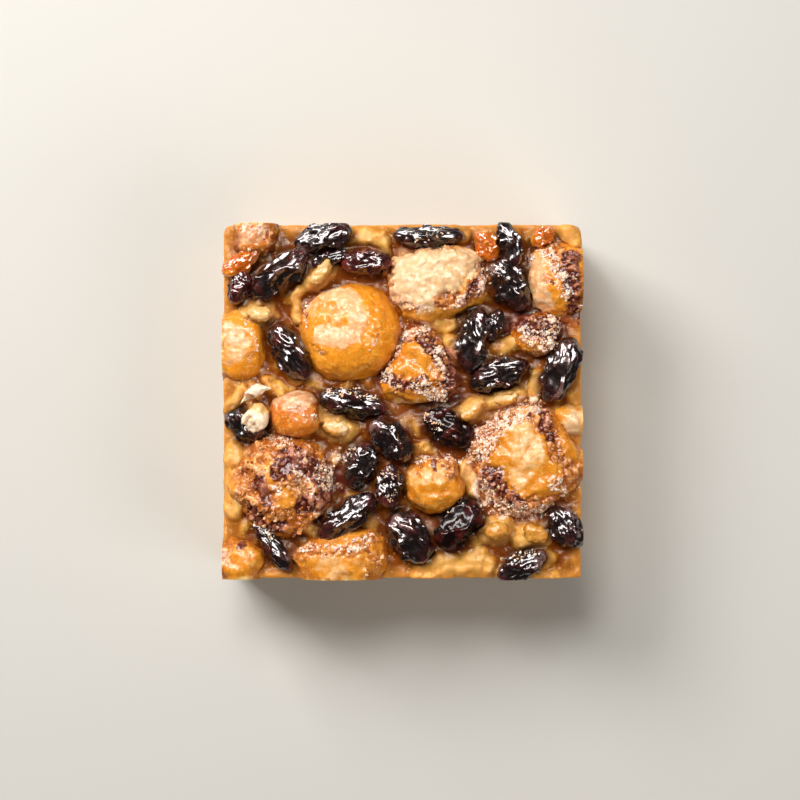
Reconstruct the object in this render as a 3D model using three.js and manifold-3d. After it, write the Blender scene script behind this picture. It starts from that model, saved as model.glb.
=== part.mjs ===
// A square of baked bread pudding, cut from the tin: a thick block of set custard and soaked bread.
// Chunks of bread stand out of its top, some of them golden and smooth, some toasted and sugared.
// Dark raisins and a few amber sultanas lie between the chunks and show in the four cut sides.
// Millimetres, +Z up. The origin is the middle of the underside. The front is -Y, the back +Y.
import * as THREE from "three";
import { ImprovedNoise } from "three/addons/math/ImprovedNoise.js";
import { mergeVertices } from "three/addons/utils/BufferGeometryUtils.js";
import Module from "manifold-3d";

const wasm = await Module();
wasm.setup();

// The block
const WIDTH = 90.4; // along X
const DEPTH = 89.2; // along Y
const CUSTARD_LEVEL = 33; // mean height of the custard between the chunks
const BACK_CORNERS = 2.4; // radius of the two upright corners at the back, seen from above
const FRONT_CORNERS = 0.8; // and of the two at the front, which are cut sharper
const TOP_SWELL = 1.1; // height of the custard's long swells
const TOP_RIPPLE = 0.45; // height of its small ripples
const KNIFE_DRAG = 0.3; // how far the cut sides wander from flat
const RIM_DROP = 0.9; // how far the custard falls off at its rim
const RIM_WIDTH = 3; // width of that rim
const BASE_TRIM = 4; // depth that is trimmed off the block to give it a flat base
const BLOCK_CELLS = 16; // mesh cells along each side of the block
const BLOCK_LAYERS = 2; // mesh cells up its sides

// Fitting the pieces together
const GAP = 0.3; // air between a piece and what it is bedded in
const BEDDED = 2.4; // how deep a chunk sits in the custard, where no cut side shows more of it
const TALLER = 60; // height of a cutting shape, which is more than the pudding's own
const SIDE_PROUD = 0.8; // how far the raisins in the cut sides stand out of them

// Bread. The meshes are icosahedra, and a level says how finely each of their faces is divided.
const BIT_LEVEL = 1;
const CHUNK_LEVEL = 2;
const FINE_LEVEL = 3; // for chunks that are longer than this many millimetres
const FINE_FROM = 25;
const CHUNK_EASE = 0.9; // further air round a fine chunk, whose socket is one level coarser
const CORNER_REACH = 0.17; // how far the corners of a wedge reach past its round form
const LUMPS = 2.3; // swellings across a chunk's skin
const CRAGS = 5.5; // and smaller crags

// Raisins, and the coarser sockets that they lie in
const RAISIN_SEGMENTS = 10;
const RAISIN_RINGS = 5;
const SOCKET_SEGMENTS = 6;
const SOCKET_RINGS = 3;
const SOCKET_EASE = 1.25; // lets a coarse socket clear the raisin inside it
const RAISIN_FLATNESS = 0.82; // thickness over width
const RAISIN_BLUNTNESS = 0.8; // below 1 the ends are blunter than an egg's
const BOW = 0.6; // how far a raisin may curve sideways, as a share of its width
const FURROWS = 5;
const FURROW_DEPTH = 0.2; // of the raisin's radius
const FURROW_WANDER = 0.9; // how far a furrow twists round the raisin, in radians
const FURROW_TURNS = 2.6; // and how fast it does so from end to end
const STEM_TAPER = 0.14; // how much narrower the stem end is than the middle

// Seeds for the draws that make no two pieces alike
const SEED_STEP = { bread: 3.1, raisin: 1.7 };
const SEED_START = { chunk: 10, bit: 40, raisin: 0, sideRaisin: 60 };

// Bread chunks that stand out of the custard. at is measured from the middle of the square, size is
// the chunk's length, width and height, turn is the angle of its length, and rise is how far its top
// stands above the custard. boxy runs from 2, an egg, to 4, a cube with soft corners. crag is the
// roughness of the crust as a share of the size. The knife cuts what reaches past a side.
const CHUNKS = [
  { name: "golden_round", at: [-13, 17.3], size: [26.5, 25, 20], turn: 15, rise: 7.5, boxy: 2.3, crag: 0.03 },
  { name: "pale_flat", at: [8.6, 29.6], size: [25.5, 18.5, 16], turn: 14, rise: 5.6, boxy: 3, crag: 0.05 },
  { name: "toasted_wedge", at: [4.2, 8], size: [19.5, 19, 16], turn: 90, rise: 6, boxy: 2.2, crag: 0.07,
    corners: 3 },
  { name: "sugared_right", at: [31, -14.6], size: [26.5, 27, 20], turn: 32, rise: 6.6, boxy: 2.8, crag: 0.05 },
  { name: "crusty_left", at: [-30.2, -20.8], size: [25.5, 25, 20], turn: 35, rise: 6.8, boxy: 2.6, crag: 0.09 },
  { name: "peach_cube", at: [-26.8, -3.4], size: [13, 12, 14], turn: 8, rise: 6, boxy: 3.2, crag: 0.03 },
  { name: "amber_cube", at: [8, -20.8], size: [15.4, 14.4, 14], turn: 12, rise: 5.6, boxy: 2.8, crag: 0.04 },
  { name: "front", at: [-15.2, -39.8], size: [24.9, 16, 20], turn: 8, rise: 4.8, boxy: 3, crag: 0.05 },
  { name: "right_back", at: [39.2, 30.6], size: [19.5, 16, 22], turn: 90, rise: 5.4, boxy: 3, crag: 0.06 },
  { name: "sugared_crust", at: [33.8, 17], size: [12.5, 10.5, 11], turn: 5, rise: 5, boxy: 2.6, crag: 0.09 },
  { name: "left_back", at: [-41, 14.2], size: [19.5, 14, 22], turn: 90, rise: 3.8, boxy: 3.2, crag: 0.04 },
  { name: "back_left", at: [-37, 41.6], size: [11.5, 9.5, 15], turn: 15, rise: 5.4, boxy: 2.8, crag: 0.08 },
  { name: "front_left", at: [-40.6, -40.2], size: [12.5, 12, 18], turn: -20, rise: 2.6, boxy: 4, crag: 0.04 },
  { name: "right_pale", at: [42, -5], size: [10, 9.5, 16], turn: 10, rise: 3.4, boxy: 2.8, crag: 0.04 },
];

// Small torn bits of bread, creamy with custard. bend bows a bit sideways, in millimetres.
const BITS = [
  { name: "bit_cream_petal", at: [-36.6, -4.4], size: [8.4, 6.4, 6], turn: 55, rise: 6.2, bend: 0.8 },
  { name: "bit_cream_curl", at: [-37.2, 2.7], size: [10, 2.8, 3.4], turn: 27, rise: 4.8, bend: -1.6 },
  { name: "bit_cream_drop", at: [-36, 21.9], size: [7.4, 4, 5], turn: -5, rise: 4, bend: 0.3 },
  { name: "bit_cream_strip", at: [-20.3, 32.4], size: [10, 4, 5], turn: 50, rise: 4.6, bend: 0.6 },
  { name: "bit_right_of_middle", at: [17.6, -2.6], size: [8.6, 3.8, 5], turn: 33, rise: 4, bend: 0.7 },
  { name: "bit_under_raisin", at: [26.4, 0.5], size: [8, 3.4, 4.6], turn: 18, rise: 3.6, bend: 0.5 },
  { name: "bit_front_right", at: [23.5, -32.4], size: [7.4, 4.8, 5], turn: 12, rise: 3.6, bend: 0.4 },
  { name: "bit_front_right_round", at: [33.2, -33.2], size: [7, 5.2, 5], turn: -15, rise: 3.6, bend: 0.2 },
  { name: "bit_left_of_middle", at: [-16.6, -6.6], size: [8.2, 4.4, 5], turn: -8, rise: 3.4, bend: 0.5 },
];

// Raisins on the top, in the order in which they lie over each other, the uppermost first.
const RAISINS = [
  { name: "raisin_back_left_upper", at: [-19.7, 40.8], size: [15, 7.6], turn: 12, rise: 5 },
  { name: "raisin_back_left_long", at: [-29.8, 31], size: [18, 9], turn: 35, rise: 5.6 },
  { name: "raisin_back_left_red", at: [-40.6, 28.8], size: [9.5, 6.6], turn: 66, rise: 4 },
  { name: "raisin_back_left_tucked", at: [-18.8, 36.1], size: [11, 5.2], turn: 12, rise: 3.4 },
  { name: "raisin_back_red", at: [-8.8, 34.2], size: [13, 8], turn: -6, rise: 4.8 },
  { name: "raisin_left", at: [-28.4, 12.2], size: [16.2, 9.6], turn: -63, rise: 5.6 },
  { name: "raisin_middle", at: [-12.2, 0.4], size: [17.6, 8.2], turn: -7, rise: 5 },
  { name: "raisin_middle_striped", at: [-2.8, -9.4], size: [14.2, 9.6], turn: -40, rise: 6 },
  { name: "raisin_middle_right", at: [10.9, -7.9], size: [14, 10], turn: -38, rise: 5.4 },
  { name: "raisin_middle_sugared", at: [-3.6, -20.9], size: [11.6, 7.8], turn: 78, rise: 5.6 },
  { name: "raisin_middle_low", at: [-11.4, -15.4], size: [12, 9.4], turn: 66, rise: 4.4 },
  { name: "raisin_front_left_slant", at: [-13.8, -28.6], size: [18, 8.2], turn: 43, rise: 5 },
  { name: "raisin_front_middle", at: [2.4, -33.8], size: [15, 11], turn: -48, rise: 5.6 },
  { name: "raisin_front_round", at: [14.9, -31.8], size: [14.8, 11.4], turn: 58, rise: 5.4 },
  { name: "raisin_front_left_thin", at: [-33, -36.2], size: [15.5, 6.4], turn: -58, rise: 3.6 },
  { name: "raisin_left_tucked", at: [-39.7, -6.6], size: [12.5, 9], turn: -30, rise: 3.6 },
  { name: "raisin_back_edge", at: [6.4, 42], size: [17.8, 7.4], turn: -1, rise: 4.6 },
  { name: "raisin_back_right_draped", at: [26.9, 40], size: [12.6, 6.2], turn: -62, rise: 5.8 },
  { name: "raisin_back_right", at: [26.6, 29.2], size: [15, 11.2], turn: -45, rise: 6 },
  { name: "raisin_right_upright", at: [17.2, 15.4], size: [16.6, 8.4], turn: 75, rise: 5 },
  { name: "raisin_right_level", at: [24.4, 6.6], size: [16, 9], turn: 17, rise: 5.6 },
  { name: "raisin_right_edge", at: [39.4, 8], size: [17.6, 9.2], turn: 75, rise: 5.6 },
  { name: "raisin_front_right_edge", at: [40.4, -32.3], size: [12.4, 9.2], turn: -52, rise: 4.6 },
  { name: "raisin_front_edge", at: [29.8, -41], size: [13.5, 8], turn: 31, rise: 4.6 },
  { name: "raisin_right_small", at: [23.5, 19.3], size: [9, 5.8], turn: 62, rise: 3.4 },
  { name: "sultana_back_left", at: [-40.3, 35.1], size: [11.5, 6.6], turn: 40, rise: 4.6 },
  { name: "sultana_back_right", at: [21.8, 38.9], size: [9.5, 7.4], turn: -58, rise: 4.6 },
  { name: "sultana_back_right_small", at: [34.9, 41.8], size: [6.8, 5.6], turn: 40, rise: 4 },
];

// Raisins in the cut sides. facing is the way that the side looks, along is the distance from the
// side's middle, to the right as the side is seen, and up is the height above the underside.
const SIDE_RAISINS = [
  { name: "raisin_front_side_low", facing: -90, along: -27, up: 11, size: [13.5, 8], turn: 24 },
  { name: "raisin_front_side_high", facing: -90, along: 14, up: 20, size: [12.5, 7.6], turn: -32 },
  { name: "raisin_right_side_low", facing: 0, along: 23, up: 12.5, size: [13, 7.8], turn: -15 },
  { name: "raisin_right_side_high", facing: 0, along: -16, up: 19, size: [12.5, 8], turn: 48 },
  { name: "raisin_back_side_low", facing: 90, along: 8, up: 10, size: [13, 7.4], turn: 12 },
  { name: "raisin_back_side_high", facing: 90, along: -24, up: 19, size: [12.5, 8], turn: -40 },
  { name: "raisin_left_side_low", facing: 180, along: -20, up: 12, size: [13, 7.8], turn: 33 },
  { name: "raisin_left_side_high", facing: 180, along: 25, up: 18, size: [12.5, 7.6], turn: -20 },
];

const custardFinish = new THREE.MeshStandardMaterial({ color: 0xd99a48, roughness: 0.35 });
const breadFinish = new THREE.MeshStandardMaterial({ color: 0xe3a552, roughness: 0.5 });
const creamFinish = new THREE.MeshStandardMaterial({ color: 0xf0d0a0, roughness: 0.4 });
const raisinFinish = new THREE.MeshStandardMaterial({ color: 0x2a1614, roughness: 0.3 });
const sultanaFinish = new THREE.MeshStandardMaterial({ color: 0xa84a12, roughness: 0.3 });

const noise = new ImprovedNoise();

// A number between 0 and 1 that differs from one seed to the next and is the same every run.
function fraction(seed) {
  const wave = Math.sin(seed * 12.9898 + 4.1414) * 43758.5453;
  return wave - Math.floor(wave);
}

// Moves every vertex of a shape to where the rule says.
function reshape(shape, rule) {
  const corners = shape.attributes.position;
  const point = new THREE.Vector3();
  for (let i = 0; i < corners.count; i++) {
    point.fromBufferAttribute(corners, i);
    rule(point);
    corners.setXYZ(i, point.x, point.y, point.z);
  }
  return shape;
}

// A closed shape as a solid that can be joined and cut.
function solidOf(shape) {
  const bare = new THREE.BufferGeometry().setAttribute("position", shape.attributes.position);
  if (shape.index) bare.setIndex(shape.index);
  const merged = mergeVertices(bare, 1e-4);
  return new wasm.Manifold(
    new wasm.Mesh({
      numProp: 3,
      vertProperties: merged.attributes.position.array,
      triVerts: new Uint32Array(merged.index.array),
    }),
  );
}

// The largest body of a solid, so that a loose scrap left by a cut is dropped.
function largest(solid) {
  const bodies = solid.decompose();
  bodies.sort((a, b) => b.volume() - a.volume());
  return bodies[0];
}

function meshOf(name, solid, finish) {
  const { vertProperties, triVerts } = solid.getMesh();
  const shape = new THREE.BufferGeometry();
  shape.setAttribute("position", new THREE.BufferAttribute(vertProperties, 3));
  shape.setIndex(new THREE.BufferAttribute(triVerts, 1));
  shape.computeVertexNormals();
  const mesh = new THREE.Mesh(shape, finish);
  mesh.name = name;
  return mesh;
}

// Height of the custard's skin above its mean level: long swells, small ripples and a softened rim.
function custardRelief(x, y) {
  const swell = TOP_SWELL * noise.noise(x / 15, y / 15, 3.7);
  const ripple = TOP_RIPPLE * noise.noise(x / 4.5, y / 4.5, 8.2);
  const inward = Math.min(WIDTH / 2 - Math.abs(x), DEPTH / 2 - Math.abs(y));
  const fall = RIM_DROP * Math.max(0, 1 - inward / RIM_WIDTH) ** 2;
  return swell + ripple - fall;
}

// Rounds the upright corners of a square block by drawing each corner's square onto a circle.
function roundCorner(point) {
  const radius = point.y > 0 ? BACK_CORNERS : FRONT_CORNERS;
  const past = new THREE.Vector2(
    Math.max(0, Math.abs(point.x) - (WIDTH / 2 - radius)),
    Math.max(0, Math.abs(point.y) - (DEPTH / 2 - radius)),
  );
  if (past.x === 0 || past.y === 0) return;
  const pulled = past.clone().multiplyScalar(Math.max(past.x, past.y) / past.length());
  point.x -= Math.sign(point.x) * (past.x - pulled.x);
  point.y -= Math.sign(point.y) * (past.y - pulled.y);
}

// The custard block, with its uneven top and its knife-cut sides. It is made a little too deep and
// then cut flat underneath.
function custardBlock() {
  const deep = CUSTARD_LEVEL + BASE_TRIM;
  const shape = new THREE.BoxGeometry(WIDTH, DEPTH, deep, BLOCK_CELLS, BLOCK_CELLS, BLOCK_LAYERS);
  shape.translate(0, 0, CUSTARD_LEVEL - deep / 2);
  reshape(shape, (point) => {
    const up = Math.max(0, point.z) / CUSTARD_LEVEL;
    const relief = custardRelief(point.x, point.y);
    const drag = KNIFE_DRAG * noise.noise(point.x / 9, point.y / 9, point.z / 7);
    if (Math.abs(point.x) === WIDTH / 2) point.x += Math.sign(point.x) * drag;
    if (Math.abs(point.y) === DEPTH / 2) point.y += Math.sign(point.y) * drag;
    roundCorner(point);
    point.z += relief * up ** 3;
  });
  return solidOf(shape).intersect(above(0));
}

// The tall prism inside the four cuts. Pieces at the rim are trimmed to it.
function knifePrism() {
  const x = WIDTH / 2;
  const y = DEPTH / 2;
  const [back, front] = [BACK_CORNERS, FRONT_CORNERS];
  const outline = new THREE.Shape();
  outline.absarc(x - back, y - back, back, 0, Math.PI / 2);
  outline.absarc(back - x, y - back, back, Math.PI / 2, Math.PI);
  outline.absarc(front - x, front - y, front, Math.PI, 1.5 * Math.PI);
  outline.absarc(x - front, front - y, front, 1.5 * Math.PI, 2 * Math.PI);
  return solidOf(new THREE.ExtrudeGeometry(outline, { depth: TALLER, bevelEnabled: false, curveSegments: 6 }));
}

// A lump of bread round the origin, from an egg to a soft-cornered cube or wedge, with a rough crust.
// grow pushes the whole skin outwards, which makes the socket that the lump is bedded in.
function breadLump({ size, boxy = 2.4, crag = 0.05, corners = 0, bend = 0 }, seed, level, grow) {
  const [long, wide, tall] = size;
  const shape = new THREE.IcosahedronGeometry(1, level);
  return reshape(shape, (point) => {
    point.normalize();
    const soft =
      (Math.abs(point.x) / (long / 2)) ** boxy +
      (Math.abs(point.y) / (wide / 2)) ** boxy +
      (Math.abs(point.z) / (tall / 2)) ** boxy;
    const outward = point.x ** 2 + point.y ** 2;
    const cornered = Math.cos(corners * Math.atan2(point.y, point.x));
    const pointed = corners ? CORNER_REACH * outward * cornered : 0;
    const lumps = noise.noise(point.x * LUMPS + seed, point.y * LUMPS, point.z * LUMPS);
    const crags = noise.noise(point.x * CRAGS, point.y * CRAGS + seed, point.z * CRAGS);
    point.multiplyScalar(soft ** (-1 / boxy) * (1 + pointed + crag * (lumps + crags)) + grow);
    point.y += bend * ((2 * point.x) / long) ** 2;
  });
}

// A raisin round the origin, lying along X. Its furrows run from end to end and twist a little.
function raisinLump([long, wide], seed, segments, rings, furrowDepth, grow) {
  const shape = new THREE.SphereGeometry(1, segments, rings);
  shape.rotateZ(-Math.PI / 2);
  const bend = BOW * (fraction(seed) - 0.5) * wide;
  return reshape(shape, (point) => {
    const along = point.x;
    const ring = Math.hypot(point.y, point.z);
    const round = Math.atan2(point.z, point.y);
    const wander = FURROW_WANDER * Math.sin(FURROW_TURNS * along + seed);
    const crease = 1 - Math.abs(Math.sin((FURROWS / 2) * round + wander + seed));
    const plump = ring ** RAISIN_BLUNTNESS * (1 - STEM_TAPER * along) * (1 - furrowDepth * crease ** 1.5);
    const radius = plump * (wide / 2) + (ring > 0.01 ? grow : 0);
    point.x = along * (long / 2 + grow);
    point.y = Math.cos(round) * radius + bend * (along ** 2 - 0.4);
    point.z = Math.sin(round) * radius * RAISIN_FLATNESS;
  });
}

// Each piece is a name, a finish, its own solid and the slightly larger socket that it is bedded in.
function bed(name, finish, own, socket) {
  return { name, finish, own: solidOf(own), socket: solidOf(socket) };
}

// Puts a lump on the top of the pudding, turned and standing as far out of the custard as it should.
function onTop(shape, { at, turn, rise }, thickness) {
  shape.rotateZ(THREE.MathUtils.degToRad(turn));
  return shape.translate(...at, CUSTARD_LEVEL + rise - thickness / 2);
}

// Puts a raisin in a cut side: flat against it, turned in its plane, and standing slightly proud.
function inSide(shape, { facing, along, up, turn, size }) {
  const out = (facing % 180 === 0 ? WIDTH : DEPTH) / 2;
  shape.rotateZ(THREE.MathUtils.degToRad(turn));
  shape.rotateX(Math.PI / 2);
  shape.rotateZ(Math.PI / 2);
  shape.translate(out + SIDE_PROUD - (size[1] * RAISIN_FLATNESS) / 2, along, up);
  return shape.rotateZ(THREE.MathUtils.degToRad(facing));
}

function raisinPiece(raisin, seed, put) {
  const own = raisinLump(raisin.size, seed, RAISIN_SEGMENTS, RAISIN_RINGS, FURROW_DEPTH, 0);
  const roomy = raisin.size.map((length) => length * SOCKET_EASE);
  const socket = raisinLump(roomy, seed, SOCKET_SEGMENTS, SOCKET_RINGS, 0, GAP);
  const finish = raisin.name.startsWith("sultana") ? sultanaFinish : raisinFinish;
  return bed(raisin.name, finish, put(own), put(socket));
}

function breadPiece(name, bread, seed, level, finish) {
  const place = (shape) => onTop(shape, bread, bread.size[2]);
  const fine = level === FINE_LEVEL;
  const own = place(breadLump(bread, seed, level, 0));
  const socket = place(breadLump(bread, seed, fine ? level - 1 : level, fine ? GAP + CHUNK_EASE : GAP));
  const piece = bed(name, finish, own, socket);
  if (reachesCut(bread)) return piece;
  piece.own = piece.own.intersect(above(CUSTARD_LEVEL - BEDDED));
  piece.socket = piece.socket.intersect(above(CUSTARD_LEVEL - BEDDED - GAP));
  return piece;
}

// Whether a chunk reaches a cut side, where its depth shows.
function reachesCut({ at: [x, y], size: [long, wide] }) {
  const reach = Math.max(long, wide) / 2;
  return Math.abs(x) + reach > WIDTH / 2 || Math.abs(y) + reach > DEPTH / 2;
}

// Everything above a height, as a box.
function above(height) {
  const box = new THREE.BoxGeometry(2 * WIDTH, 2 * DEPTH, TALLER);
  return solidOf(box.translate(0, 0, height + TALLER / 2));
}

const bits = BITS.map((bit, i) =>
  breadPiece(bit.name, bit, SEED_START.bit + SEED_STEP.bread * i, BIT_LEVEL, creamFinish),
);
const chunks = CHUNKS.map((chunk, i) => {
  const level = chunk.size[0] > FINE_FROM ? FINE_LEVEL : CHUNK_LEVEL;
  const seed = SEED_START.chunk + SEED_STEP.bread * i;
  return breadPiece("bread_" + chunk.name, chunk, seed, level, breadFinish);
});
const topRaisins = RAISINS.map((raisin, i) => {
  const put = (shape) => onTop(shape, raisin, raisin.size[1] * RAISIN_FLATNESS);
  return raisinPiece(raisin, SEED_START.raisin + SEED_STEP.raisin * i, put);
});
const sideRaisins = SIDE_RAISINS.map((raisin, i) =>
  raisinPiece(raisin, SEED_START.sideRaisin + SEED_STEP.raisin * i, (shape) => inSide(shape, raisin)),
);

// The pieces in the order in which they keep their shape: each is cut by the sockets of those before
// it. The first bit, the petal, lies over a raisin.
const [petal, ...otherBits] = bits;
const pieces = [petal, ...topRaisins, ...sideRaisins, ...otherBits, ...chunks];

const prism = knifePrism();
let custard = custardBlock();
const pudding = new THREE.Group();
pieces.forEach((piece, i) => {
  const { name, finish, own, socket } = piece;
  let left = sideRaisins.includes(piece) ? own : own.intersect(prism);
  for (const before of pieces.slice(0, i)) left = left.subtract(before.socket);
  custard = custard.subtract(socket);
  pudding.add(meshOf(name, largest(left), finish));
});
pudding.add(meshOf("custard_block", largest(custard), custardFinish));

// Sets the finished square on the origin by its own bounding box.
const box = new THREE.Box3().setFromObject(pudding);
const middle = box.getCenter(new THREE.Vector3());
pudding.position.set(-middle.x, -middle.y, -box.min.z);

export default pudding;
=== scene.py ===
# %% [markdown]
# # A square of bread pudding with raisins
# The pudding was baked in a tin and cut with a knife. Custard holds it together, chunks of bread
# stand out of the top, golden or toasted, and raisins lie between them. This lesson dresses its plain
# solids: each cell makes one thing, and says first what that thing is on the real pudding.

# %% Load the frame
import math
import random
from contextlib import contextmanager

import bpy
import numpy as np
from mathutils import Matrix, Quaternion, Vector, kdtree, noise


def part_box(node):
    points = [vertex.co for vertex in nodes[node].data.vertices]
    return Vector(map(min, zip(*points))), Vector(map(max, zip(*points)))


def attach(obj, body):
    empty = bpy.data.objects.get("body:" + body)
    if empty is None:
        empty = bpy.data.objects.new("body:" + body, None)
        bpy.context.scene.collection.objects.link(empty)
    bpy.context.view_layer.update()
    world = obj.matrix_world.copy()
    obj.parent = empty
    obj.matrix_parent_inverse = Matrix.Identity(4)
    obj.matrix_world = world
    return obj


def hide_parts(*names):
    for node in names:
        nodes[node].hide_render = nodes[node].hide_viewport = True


noise.seed_set(4)  # the seed of the noise that frays the brush strokes: the same pudding on every run
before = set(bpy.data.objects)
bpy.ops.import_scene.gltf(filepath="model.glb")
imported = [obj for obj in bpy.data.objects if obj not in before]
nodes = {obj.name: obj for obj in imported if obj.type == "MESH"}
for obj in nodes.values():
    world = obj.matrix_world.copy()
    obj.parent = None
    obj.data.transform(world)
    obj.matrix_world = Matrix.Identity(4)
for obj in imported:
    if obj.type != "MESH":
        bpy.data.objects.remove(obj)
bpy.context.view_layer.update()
MM = 0.001

# %% [markdown]
# ## Where the knife went
# The four sides are knife cuts, so whatever reaches them ends flush there. Their places come from the
# custard block, which fills the whole square.

# %% Measure the cuts
BLOCK_LOW, BLOCK_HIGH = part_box("custard_block")
CUT_X = (BLOCK_HIGH.x - BLOCK_LOW.x) / 2
CUT_Y = (BLOCK_HIGH.y - BLOCK_LOW.y) / 2
CUSTARD_LEVEL = 33 * MM
BACK_CORNERS = 2.4 * MM  # radius of the upright corners at the back, where the tin's corner was near
FRONT_CORNERS = 0.8 * MM
print(f"cut {2 * CUT_X / MM:.1f} by {2 * CUT_Y / MM:.1f} mm, custard {CUSTARD_LEVEL / MM:.0f} mm high")

# %% [markdown]
# ## Tools for the hand
# An operator acts on everything that is selected, so each step first picks its one piece. A modifier
# is applied at once, so that the next one works on what it left.


# %% Small tools
def only(piece):
    """Selects one piece and nothing else, as a click does."""
    bpy.ops.object.select_all(action="DESELECT")
    piece.select_set(True)
    bpy.context.view_layer.objects.active = piece


@contextmanager
def opened(piece):
    """Edit mode on one piece with its whole mesh selected, then object mode again."""
    only(piece)
    bpy.ops.object.mode_set(mode="EDIT")
    bpy.ops.mesh.select_all(action="SELECT")
    yield
    bpy.ops.object.mode_set(mode="OBJECT")


def placed(name, data):
    """A new object for a mesh, a lamp or a camera, put into the scene."""
    thing = bpy.data.objects.new(name, data)
    bpy.context.collection.objects.link(thing)
    return thing


def smoothly_shaded(piece, sharp=60):
    """Shades a piece smooth, but for edges that turn by more than some degrees."""
    only(piece)
    bpy.ops.object.shade_smooth_by_angle(angle=math.radians(sharp))
    return piece


def modify(piece, kind, **settings):
    """Adds a modifier with its settings and applies it."""
    only(piece)
    modifier = piece.modifiers.new(kind.lower(), kind)
    for setting, value in settings.items():
        setattr(modifier, setting, value)
    bpy.ops.object.modifier_apply(modifier=modifier.name)


def texture(kind, size, **settings):
    """A pattern in space for the Displace modifier, whose features are size metres apart."""
    pattern = bpy.data.textures.new(kind.lower(), kind)
    pattern.noise_scale = size
    for setting, value in settings.items():
        setattr(pattern, setting, value)
    return pattern


def displace(piece, pattern, height, **settings):
    """Moves a piece's skin in and out by a pattern whose lows and highs lie height metres apart."""
    modify(piece, "DISPLACE", texture=pattern, strength=height, texture_coords="LOCAL", **settings)


def places(piece, what="co"):
    """The vertices of a piece as rows of x, y and z."""
    flat = np.empty(len(piece.data.vertices) * 3, np.float32)
    piece.data.vertices.foreach_get(what, flat)
    return flat.reshape(-1, 3)


def normals_of(piece):
    """The way that each vertex faces, in the same rows."""
    return places(piece, "normal")


def move_to(piece, points):
    """Puts the vertices of a piece where the rows say."""
    piece.data.vertices.foreach_set("co", np.asarray(points, np.float32).ravel())
    piece.data.update()


def put_mask(piece, name, values):
    """Stores one number for each vertex, for a finish to read."""
    attribute = piece.data.attributes.new(name, "FLOAT", "POINT")
    attribute.data.foreach_set("value", np.asarray(values, np.float32))


def weigh(piece, name, weights):
    """Stores weights as a vertex group, in twenty steps, for a modifier to read."""
    group = piece.vertex_groups.new(name=name)
    steps = np.round(np.clip(weights, 0, 1) * 20).astype(int)
    for step in range(1, 21):
        group.add([int(i) for i in np.flatnonzero(steps == step)], step / 20, "REPLACE")


def inward_of(points):
    """How far inside the four knife cuts points lie."""
    return np.minimum(CUT_X - np.abs(points[:, 0]), CUT_Y - np.abs(points[:, 1]))


def trim(piece, proud=0.0):
    """Cuts a piece flush with the four knife cuts, or a little proud, and closes what is cut."""
    for axis, cut in enumerate((CUT_X + proud, CUT_Y + proud)):
        for way in (-1, 1):
            if (places(piece)[:, axis] * way).max() <= cut:
                continue
            normal, point = [0, 0, 0], [0, 0, 0]
            normal[axis], point[axis] = way, way * cut
            with opened(piece):
                bpy.ops.mesh.bisect(plane_co=point, plane_no=normal, use_fill=True, clear_outer=True)
    put_mask(piece, "cut", inward_of(places(piece)) < -0.9 * proud)
    smoothly_shaded(piece, 50)


def bare_copy(node, name):
    """A copy of a CAD node as a piece of its own, its loose triangles merged."""
    piece = placed(name, nodes[node].data.copy())
    piece.data.materials.clear()
    with opened(piece):
        bpy.ops.mesh.remove_doubles(threshold=0.01 * MM)
    return piece


def dress(piece, finish, slot, *replaced):
    """Gives a piece its finish, hangs it under the root, and hides the plain solids that it replaces."""
    piece.data.materials.clear()
    piece.data.materials.append(finish)
    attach(piece, "root")
    if replaced:
        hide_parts(*replaced)
    return piece


print("tools for", len(nodes), "plain solids")

# %% [markdown]
# ## Building finishes from nodes
# Every finish is a Principled shader fed by a few patterns. One small function adds a node, sets what
# is asked and joins what is given, and colours are written as a painter would mix them, in sRGB hex.


# %% Node and colour tools
def linear(colour):
    """An sRGB hex colour as the linear numbers that a shader works in."""
    parts = [int(colour[i : i + 2], 16) / 255 for i in (1, 3, 5)]
    return [p / 12.92 if p <= 0.04045 else ((p + 0.055) / 1.055) ** 2.4 for p in parts] + [1.0]


def add(tree, kind, inputs=(), **settings):
    """Adds a node. inputs maps a socket's name or number to a value or to another node's output."""
    node = tree.nodes.new("ShaderNode" + kind)
    for setting, value in settings.items():
        setattr(node, setting, value)
    for socket, value in dict(inputs).items():
        if isinstance(value, bpy.types.NodeSocket):
            tree.links.new(value, node.inputs[socket])
        else:
            node.inputs[socket].default_value = value
    return node


def new_finish(name):
    """An empty material with its output, and the place on the piece that its patterns read."""
    finish = bpy.data.materials.new(name)
    finish.use_nodes = True
    tree = finish.node_tree
    tree.nodes.clear()
    where = add(tree, "TexCoord").outputs["Object"]
    return finish, tree, where


def speckle(tree, where, size, detail=3.0, roughness=0.55):
    """Noise whose blotches are about size metres across."""
    inputs = {"Vector": where, "Scale": 1 / size, "Detail": detail, "Roughness": roughness}
    return add(tree, "TexNoise", inputs).outputs["Fac"]


def between(tree, value, low, high, full=1.0, kind="SMOOTHSTEP"):
    """0 where a value is under low, full where it is over high, and a soft step between."""
    inputs = {"Value": value, "From Min": low, "From Max": high, "To Max": full}
    return add(tree, "MapRange", inputs, interpolation_type=kind).outputs["Result"]


def combine(tree, how, one, two):
    """Joins two numbers by one of the Math node's operations."""
    return add(tree, "Math", {0: one, 1: two}, operation=how).outputs[0]


def plus(tree, one, two):
    """The sum of two numbers."""
    return combine(tree, "ADD", one, two)


def times(tree, one, two):
    """The product of two numbers."""
    return combine(tree, "MULTIPLY", one, two)


def blend(tree, share, one, two, how="MIX"):
    """Mixes two colours, each a hex string or another node's output."""
    one, two = (linear(colour) if isinstance(colour, str) else colour for colour in (one, two))
    mix = add(tree, "Mix", {"Factor": share, 6: one, 7: two}, data_type="RGBA", blend_type=how)
    return mix.outputs[2]


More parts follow.
